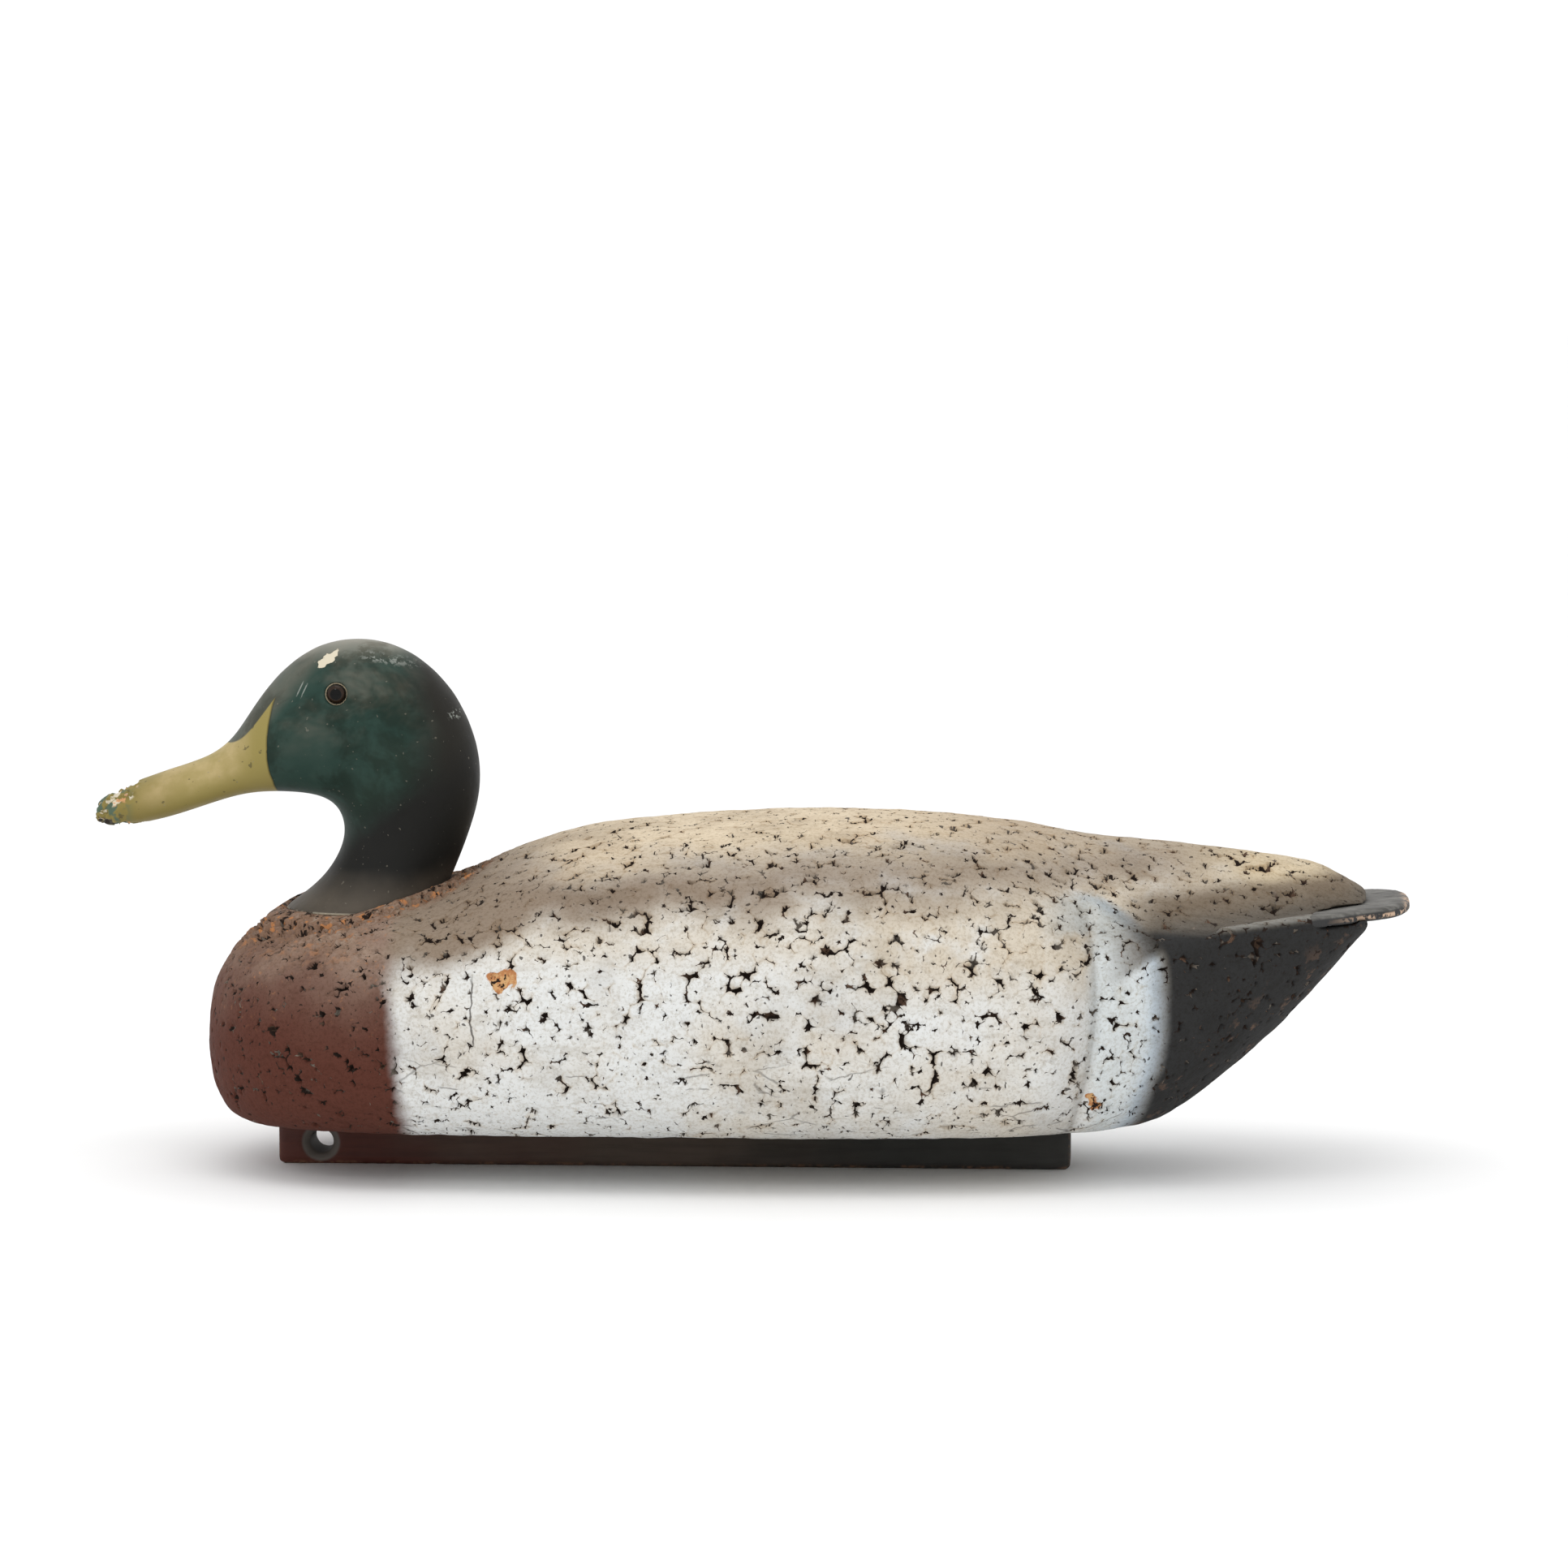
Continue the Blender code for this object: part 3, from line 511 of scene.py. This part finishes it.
# carved wood, painted, with the paint chipped off the bill's tip
head = {
    "voxel": 0.0009,
    "smoothing": 45,
    "faces": 110000,
    "shine": 0.13,
    "green": (0.016, 0.040, 0.031),
    "greenLight": (0.036, 0.066, 0.053),
    "haze": (0.165, 0.148, 0.118),
    "crown": (0.300, 0.295, 0.250),
    "scuff": (0.300, 0.320, 0.290),
    "nape": (0.016, 0.015, 0.012),
    "neck": (0.011, 0.011, 0.010),
    "foot": (0.098, 0.082, 0.064),
    "bill": (0.272, 0.220, 0.068),
    "billHaze": (0.470, 0.365, 0.185),
    "oldPaint": (0.050, 0.110, 0.090),
    "speck": (0.090, 0.075, 0.035),
    "cream": (0.620, 0.560, 0.430),
    "peach": (0.620, 0.330, 0.160),
    "rot": (0.030, 0.024, 0.018),
    "grime": (0.450, 0.420, 0.360),
    "dust": (0.220, 0.200, 0.160),
    "borderShade": (0.350, 0.330, 0.250),
    "billUnder": (0.720, 0.700, 0.600),
    "billEnd": (0.740, 0.720, 0.640),
}


def distanceTo(place, scale, point):
    away = place.shift(scale, point)
    return away.add("ShaderNodeVectorMath", {"operation": "LENGTH"}, {0: away}, 1)


def sideLine(place, middleX, middleZ, degrees):  # distances along and across a slanting line on the side
    x, _, z = place.parts()
    cosine, sine = math.cos(math.radians(degrees)), math.sin(math.radians(degrees))
    x, z = x - middleX, z - middleZ
    return x * cosine + z * sine, z * cosine - x * sine


def tipWear(place):
    x, _, z = place.parts()
    rough = place.bend(260, 0.004).noise(190, 2.0, 0.6)
    top = (z - 0.1385 - (x + 0.236) * 0.35).ease(-0.003, 0.002)
    under = (z - 0.1300 - (x + 0.236) * 0.25).ease(0.0025, -0.001)
    end = x.ease(-0.2405, -0.2440) * 0.9
    return x.ease(-0.2280, -0.2370) * rough.ease(0.44, 0.52) * top.most(under).most(end)


def headDepth(place):
    x, _, z = place.parts()
    dents = place.noise(70, 3.0).ease(0.62, 0.80) * 0.00045
    chipped = place.noise(210, 4.0, 0.7).ease(0.45, 0.62) * x.ease(-0.2330, -0.2400) * 0.0007
    clearOfSeat = seatReach(place).ease(0.0262, 0.0240).most(z.ease(0.103, 0.108))
    return (dents + chipped + tipWear(place) * 0.0014) * clearOfSeat


def headSmoothing(place):
    x, y, z = place.parts()
    socket = place.shift((1, 0, 1), (0.154, 0, -0.180))
    away = socket.add("ShaderNodeVectorMath", {"operation": "LENGTH"}, {0: socket}, 1)
    held = away.ease(0.0062, 0.0085).most(y.size().ease(0.014, 0.010)) * z.ease(0.1000, 0.1060)
    return held * (x.ease(-0.242, -0.222) * 0.9 + 0.1)


print("head")
headCarved = cadCopy("head", "headCarved")
remesh(headCarved, head["voxel"])
settle(headCarved)
carve(headCarved, head["smoothing"], headSmoothing, headDepth)
thin(headCarved, head["faces"])

headPaint, start, shader = newMaterial("headPaint")
place = restPlace(start)
x, y, z = place.parts()
cloud = place.noise(32, 3.0)
mottle = place.noise(120, 4.0, 0.6)
fleck = place.noise(700, 3.0, 0.6)
wander = cloud - 0.5

uneven = cloud.ease(0.35, 0.70) * 0.6 + mottle.ease(0.45, 0.75) * 0.25
paintCoat = blend(uneven, head["green"], head["greenLight"])
crown = (z - 0.188 - (x + 0.16) * 0.12 + wander * 0.022).ease(0.0, 0.010) * x.ease(-0.118, -0.140)
smudge = place.shift((0.6, 1, 1)).bend(25, 0.03).noise(34, 4.0, 0.7)
smudge = smudge.ease(0.44, 0.72) * z.ease(0.152, 0.172) * 0.45
forehead = (z - 0.177 - (x + 0.172) * 1.10 + wander * 0.012).ease(-0.003, 0.008) * x.ease(-0.150, -0.160)
paintCoat = paintCoat.over(crown.most(smudge).most(forehead * (0.15 + mottle * 0.6)), head["haze"])
paintCoat = paintCoat.over(z.ease(0.1900, 0.1990) * (0.30 + mottle * 0.5), head["crown"])
grime = place.bend(30, 0.02).noise(48, 4.0, 0.65).ease(0.44, 0.62)
paintCoat = paintCoat.tint(grime * 0.75, head["grime"])
scuffed = (z - 0.1935 + (x + 0.14) * 0.18).size().ease(0.0026, 0.0006)
scuffed = scuffed * x.ease(-0.112, -0.120) * x.ease(-0.150, -0.140)
scuffed = scuffed * place.bend(90, 0.004).noise(420, 4.0, 0.7).ease(0.50, 0.58)
paintCoat = paintCoat.over(scuffed * 0.6, head["scuff"])
back = (x + 0.130 + (z - 0.17) * 0.12 + wander * 0.02).ease(-0.004, 0.014)
paintCoat = paintCoat.over(back, head["nape"])
# painted shade: the green turns near-black on the lower rear of the neck, under and behind the head
throatShade = (x + 0.150) * 0.75 - (z - 0.138) + wander * 0.02
paintCoat = paintCoat.over(throatShade.ease(0.002, 0.022), head["neck"])
foot = (z - 0.1105 - (x + 0.15).most(0) * 0.05 + wander * 0.018).ease(0.006, -0.008)
paintCoat = paintCoat.over(foot * (0.50 + mottle * 0.6), head["foot"])
rim = (z - 0.0972).ease(0.0007, 0.0) * place.noise(120, 3.0).ease(0.40, 0.52)
paintCoat = paintCoat.over(rim * 0.75, head["cream"])

ridge = ((y / 0.0155) ** 2 + ((x + 0.1787) / 0.0195) ** 2).ease(1.03, 0.97) * z.ease(0.155, 0.158)
line = x + 0.1807 - ((z - 0.160) / 0.018) ** 2 * 0.0025 + (place.noise(90, 2.0) - 0.5) * 0.0012
bill = line.ease(0.0003, -0.0003) * (1 - ridge) * z.ease(0.118, 0.122)
topOfBill = (z - 0.1455 - (x + 0.2) * 0.36).ease(-0.004, 0.006)
topOfBill = topOfBill * x.ease(-0.184, -0.196) * x.ease(-0.236, -0.222)
rubbed = cloud.ease(0.3, 0.7) * 0.45 + mottle.ease(0.35, 0.7) * 0.45
coat = blend(topOfBill * rubbed, head["bill"], head["billHaze"])
coat = coat.tint((z - 0.1395 - (x + 0.2) * 0.42).ease(0.006, -0.006) * 0.25, head["billUnder"])
coat = coat.tint(x.ease(-0.205, -0.235) * 0.7, head["billEnd"])
coat = coat.over(place.noise(330, 2.0).ease(0.66, 0.70) * 0.7, head["speck"])
paintCoat = paintCoat.over(bill, coat)
border = line.size().ease(0.0007, 0.0002) * z.ease(0.125, 0.130) * z.ease(0.179, 0.176)
paintCoat = paintCoat.tint(border * 0.6, head["borderShade"])
tip = tipWear(place)
under = x.ease(-0.236, -0.243) * (z - 0.1305).ease(0.002, -0.001) * place.noise(210, 2.0).ease(0.48, 0.54)
older = x.ease(-0.2315, -0.2395) * place.noise(160, 3.0).ease(0.50, 0.56)
paintCoat = paintCoat.over(older * 0.8, head["oldPaint"])
paintCoat = paintCoat.over(tip.ease(0.3, 0.7) * place.noise(230, 2.0).ease(0.44, 0.52), head["cream"])
paintCoat = paintCoat.over(tip.ease(0.3, 0.7) * place.noise(260, 2.0).ease(0.52, 0.60), head["peach"])
paintCoat = paintCoat.over(under, head["rot"])
u, v = sideLine(place.bend(420, 0.0030), -0.1566, 0.1940, 38)
chip = ((u / 0.0048) ** 2 + (v / 0.0017) ** 2).ease(1.1, 0.9) * y.ease(0, -0.004)
paintCoat = paintCoat.over(chip, head["cream"])
u, v = sideLine(place, -0.1672, 0.1814, 66)
leftSide = y.ease(0, -0.004)
scratch = (v.size() - 0.0009).size().ease(0.00030, 0.00012) * u.size().ease(0.0036, 0.0020) * leftSide
nick = distanceTo(place, (1, 0, 1), (0.1106, 0, -0.1717)).ease(0.0030, 0.0010)
nick = nick * fleck.ease(0.52, 0.60) * leftSide
paintCoat = paintCoat.over((scratch * fleck.ease(0.35, 0.5)).most(nick) * 0.7, head["scuff"])
specks = place.noise(640, 1.0).ease(0.735, 0.765)
paintCoat = paintCoat.over(specks * 0.35, head["dust"])
headBumps = [(mottle, 0.0003, 0.35), (fleck, 0.00008, 0.4), (chip * -1, 0.0004, 1.0)]
feed(start, shader, paintCoat, 0.42 + mottle * 0.25, bumps=headBumps)
shader.inputs["Specular IOR Level"].default_value = head["shine"]
headCarved.data.materials.append(headPaint)
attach(headCarved, "head")
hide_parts("head")


# glass eyes in worn filler, with painted shadow in the gap round the glass
eye = {
    "radius": 0.0036,
    "dome": 0.0019,
    "iris": (0.026, 0.014, 0.008),
    "pupil": (0.001, 0.001, 0.001),
    "edge": (0.010, 0.008, 0.006),
    "shine": 0.16,
    "filler": (0.560, 0.470, 0.320),
    "fillerGapShadow": (0.045, 0.035, 0.025),
}


def newPiece(name, bm, material):
    mesh = bpy.data.meshes.new(name)
    bm.to_mesh(mesh)
    bm.free()
    mesh.shade_smooth()
    mesh.materials.append(material)
    obj = bpy.data.objects.new(name, mesh)
    bpy.context.scene.collection.objects.link(obj)
    return obj


print("eyes")
low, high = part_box("eye_left")
eyeMiddle = (low + high) / 2
glass, start, shader = newMaterial("eyeGlass")
place = objectPlace(start)
away = distanceTo(place, (1, 0, 1), (-eyeMiddle.x, 0, -eyeMiddle.z))
streaks = place.noise(900, 2.0)
iris = blend(away.ease(0.0020, 0.0023) * (0.4 + streaks), eye["pupil"], eye["iris"])
# painted shadow: a dark ring at the rim of the glass, where the sunk eye lies in shade in its hole
iris = iris.over(away.ease(0.0031, 0.0034), eye["edge"])
feed(start, shader, iris, 0.05 + streaks.ease(0.55, 0.75) * 0.06)
shader.inputs["Specular IOR Level"].default_value = eye["shine"]

filler, start, shader = newMaterial("eyeFiller")
place = objectPlace(start)
away = distanceTo(place, (1, 0, 1), (-eyeMiddle.x, 0, -eyeMiddle.z))
crumb = place.noise(620, 3.0, 0.6)
# painted shadow: the filler next to the glass is dark, the shade of the gap round the sunk eye; cream further out,
# with a few dark crumbs
ring = blend(away.ease(0.0037, 0.0039) * crumb.ease(0.28, 0.40), eye["fillerGapShadow"], eye["filler"])
feed(start, shader, ring, 0.85 + crumb * 0.1, bumps=[(crumb, 0.0003, 0.7)])

for side, sign in (("left", -1), ("right", 1)):
    low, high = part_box("eye_" + side)
    bm = bmesh.new()
    bmesh.ops.create_uvsphere(bm, u_segments=40, v_segments=24, radius=eye["radius"])
    bmesh.ops.scale(bm, vec=(1, eye["dome"] / eye["radius"], 1), verts=bm.verts)
    outer = high.y if sign > 0 else low.y
    spot = (eyeMiddle.x, outer - sign * eye["dome"], eyeMiddle.z)
    bmesh.ops.translate(bm, vec=spot, verts=bm.verts)
    piece = newPiece("glassEye" + side.capitalize(), bm, glass)
    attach(piece, "head")
    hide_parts("eye_" + side)


# tail board: a thin wooden fan, black underneath and rubbed bare along its edge
tail = {
    "voxel": 0.0007,
    "faces": 60000,
    "top": (0.055, 0.052, 0.047),
    "topWorn": (0.165, 0.160, 0.146),
    "under": (0.018, 0.018, 0.018),
    "wood": (0.520, 0.360, 0.250),
}


def tailDepth(place):
    nicks = place.noise(150, 3.0, 0.6).ease(0.55, 0.80) * 0.0006
    return nicks + (place.noise(60, 2.0) - 0.5) * 0.0003


print("tail board")
tailBoard = cadCopy("tail_board", "tailBoard")
bm = bmesh.new()
bm.from_mesh(tailBoard.data)
cutAcross(bm, cork["fillerEnd"])
cutAcross(bm, cork["fillerEnd"] - 0.004)
buried = [vert for vert in bm.verts if vert.co.x < cork["fillerEnd"] - 0.0035]
bmesh.ops.scale(bm, vec=(1, 0.94, 1), verts=buried)
for vert in buried:  # thinner where the cork holds it
    middle = board["height"] + vert.co.x * board["rise"]
    vert.co.z += (middle - vert.co.z) * 0.5
bm.to_mesh(tailBoard.data)
bm.free()
remesh(tailBoard, tail["voxel"])
settle(tailBoard)
carve(tailBoard, 6, lambda place: place.parts()[0].ease(0.0, 0.01), tailDepth)
thin(tailBoard, tail["faces"])

boardPaint, start, shader = newMaterial("boardPaint")
place = restPlace(start)
x, y, z = place.parts()
streak = place.shift((0.16, 1, 1)).noise(420, 4.0, 0.65)
mottle = place.noise(130, 4.0, 0.6)
fleck = place.noise(560, 3.0, 0.6)
height = overBoard(place)
worn = streak.ease(0.35, 0.65) * 0.6 + mottle.ease(0.45, 0.7) * 0.5
paintCoat = blend(worn, tail["top"], tail["topWorn"])
paintCoat = paintCoat.over((height - 0.0010 + (mottle - 0.5) * 0.0014).ease(0.0004, -0.0006), tail["under"])
rubbed = (height + 0.0006).size().ease(0.0012, 0.0003) * x.ease(0.215, 0.240)
tipRub = x.ease(0.2450, 0.2490) * 0.9
paintCoat = paintCoat.over(rubbed.most(tipRub) * (mottle * 0.5 + fleck * 0.5).ease(0.47, 0.53), tail["wood"])
feed(start, shader, paintCoat, 0.6 + mottle * 0.25, bumps=[(streak, 0.0003, 0.5), (fleck, 0.0001, 0.4)])
tailBoard.data.materials.append(boardPaint)
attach(tailBoard, "hull")
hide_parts("tail_board")


# keel: a painted strip of wood, reddish at the front and grey at the back
keel = {
    "voxel": 0.0009,
    "faces": 60000,
    "front": (0.075, 0.014, 0.006),
    "middle": (0.074, 0.050, 0.035),
    "rear": (0.020, 0.019, 0.016),
    "rubbed": (0.190, 0.095, 0.050),
    "mouth": (0.130, 0.120, 0.105),
    "grainShade": (0.550, 0.500, 0.450),
}


def keelDepth(place):
    _, y, z = place.parts()
    edges = (y.size() - 0.0100).most(0) * ((z - 0.0090).size() - 0.0062).most(0) * 260
    dents = place.noise(90, 3.0, 0.6).ease(0.58, 0.80) * 0.0006
    return edges * place.noise(160, 3.0).ease(0.42, 0.7) * 0.35 + dents * z.ease(0.0186, 0.0176)


print("keel")
keelStrip = cadCopy("keel", "keelStrip")
remesh(keelStrip, keel["voxel"])
settle(keelStrip)
carve(keelStrip, 3, lambda place: place.parts()[2].ease(-0.01, -0.005), keelDepth)
thin(keelStrip, keel["faces"])

keelPaint, start, shader = newMaterial("keelPaint")
place = restPlace(start)
x, y, z = place.parts()
streak = place.shift((0.06, 1, 1)).noise(330, 4.0, 0.65)
mottle = place.noise(70, 4.0, 0.6)
cloud = place.noise(22, 2.0)
fleck = place.noise(520, 3.0, 0.6)
along = x + (cloud - 0.5) * 0.12
paintCoat = blend(along.ease(-0.15, -0.06), keel["front"], keel["middle"])
paintCoat = paintCoat.over(along.ease(-0.03, 0.07), keel["rear"])
paintCoat = paintCoat.tint(streak.ease(0.55, 0.35) * 0.45, keel["grainShade"])
corner = (y.size() - 0.0106).ease(0.0, 0.0012) * ((z - 0.0093).size() - 0.0074).ease(0.0, 0.0014)
ends = x.ease(0.1212, 0.1222).most(x.ease(-0.1773, -0.1783))
edges = corner.most(ends * 0.6) * (mottle * 0.6 + fleck * 0.4).ease(0.48, 0.60)
paintCoat = paintCoat.over(edges * 0.75, keel["rubbed"])
paintCoat = paintCoat.over(z.ease(0.0006, 0.0) * mottle.ease(0.35, 0.6) * 0.6, keel["rubbed"])
hole = distanceTo(place, (1, 0, 1), (0.1622, 0, -0.0084))
paintCoat = paintCoat.over(hole.ease(0.0078, 0.0066) * (0.6 + mottle * 0.5), keel["mouth"])
feed(start, shader, paintCoat, 0.55 + mottle * 0.3, bumps=[(streak, 0.0004, 0.5), (fleck, 0.0001, 0.4)])
keelStrip.data.materials.append(keelPaint)
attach(keelStrip, "hull")
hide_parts("keel")


# lead, steel and bare wood let into the keel and the cork
fixings = {
    "lead": (0.190, 0.190, 0.195),
    "leadBloom": (0.420, 0.420, 0.410),
    "steel": (0.330, 0.310, 0.290),
    "rust": (0.170, 0.062, 0.022),
    "wood": (0.480, 0.320, 0.180),
    "woodGrain": (0.290, 0.165, 0.080),
}

print("fixings")
leadSkin, start, shader = newMaterial("dullLead")
place = objectPlace(start)
bloom = place.noise(80, 5.0, 0.65)
dents = place.noise(260, 3.0)
skin = blend(bloom.ease(0.42, 0.68), fixings["lead"], fixings["leadBloom"])
metal = 0.85 - bloom.ease(0.45, 0.7) * 0.6
feed(start, shader, skin, 0.5 + bloom * 0.35, metal, bumps=[(dents, 0.0006, 0.6)])

steelSkin, start, shader = newMaterial("rustySteel")
place = objectPlace(start)
patches = place.noise(210, 5.0, 0.65)
skin = blend(patches.ease(0.40, 0.58), fixings["steel"], fixings["rust"])
metal = 0.95 - patches.ease(0.42, 0.56) * 0.85
feed(start, shader, skin, 0.45 + patches * 0.4, metal, bumps=[(patches, 0.0003, 0.6)])

woodSkin, start, shader = newMaterial("bareWood")
place = objectPlace(start)
grain = place.shift((1, 1, 0.08)).noise(700, 4.0, 0.6)
skin = blend(grain.ease(0.40, 0.65), fixings["wood"], fixings["woodGrain"])
feed(start, shader, skin, 0.65 + grain * 0.2, bumps=[(grain, 0.0002, 0.5)])

skins = {"lead": leadSkin, "steel": steelSkin, "bare_wood": woodSkin, "putty": filler}
for part in frame["record"]["subparts"]:
    skin = skins.get(part["material_slot"])
    if skin:
        node = frame["nodes"][part["node"]]
        node.data.materials.clear()
        node.data.materials.append(skin)


# pale floor, soft lights and camera
stage = {
    "floor": (0.92, 0.92, 0.92),
    "floorFibre": (0.90, 0.90, 0.90),
    "sky": 1.12,
    "top": 3.0,
    "front": 1.5,
}

print("stage")
bm = bmesh.new()
bmesh.ops.create_circle(bm, cap_ends=True, segments=96, radius=14)
floorSkin, start, shader = newMaterial("palePaper")
place = objectPlace(start)
fibre = place.noise(30, 3.0)
feed(start, shader, blend(fibre, stage["floor"], stage["floorFibre"]), 0.9)
floor = newPiece("floor", bm, floorSkin)

world = bpy.data.worlds.new("softWhite")
bpy.context.scene.world = world
world.use_nodes = True
world.node_tree.nodes["Background"].inputs["Color"].default_value = (1, 1, 1, 1)
world.node_tree.nodes["Background"].inputs["Strength"].default_value = stage["sky"]


def areaLight(name, power, size, spot, aim):
    lamp = bpy.data.lights.new(name, "AREA")
    lamp.shape = "RECTANGLE"
    lamp.size, lamp.size_y = size
    lamp.energy = power
    obj = bpy.data.objects.new(name, lamp)
    bpy.context.scene.collection.objects.link(obj)
    obj.location = spot
    obj.rotation_euler = (Vector(aim) - Vector(spot)).to_track_quat("-Z", "Y").to_euler()


areaLight("topSoftbox", stage["top"], (0.9, 0.6), (0.0, -0.45, 1.4), (0, 0, 0.05))
areaLight("frontSoftbox", stage["front"], (0.32, 0.24), (-0.45, -1.5, 1.25), (0, 0, 0.10))

turn, dip = math.radians(view["turn"]), math.radians(view["dip"])
away = Vector((math.sin(turn) * math.cos(dip), -math.cos(turn) * math.cos(dip), math.sin(dip)))
cameraData = bpy.data.cameras.new("camera")
cameraData.lens = view["lens"]
cameraData.sensor_width = 36
camera = bpy.data.objects.new("camera", cameraData)
bpy.context.scene.collection.objects.link(camera)
camera.location = Vector(view["aim"]) + away * view["distance"]
camera.rotation_euler = (math.pi / 2 - dip, 0, turn)
bpy.context.scene.camera = camera
bpy.context.scene.view_settings.view_transform = "Standard"
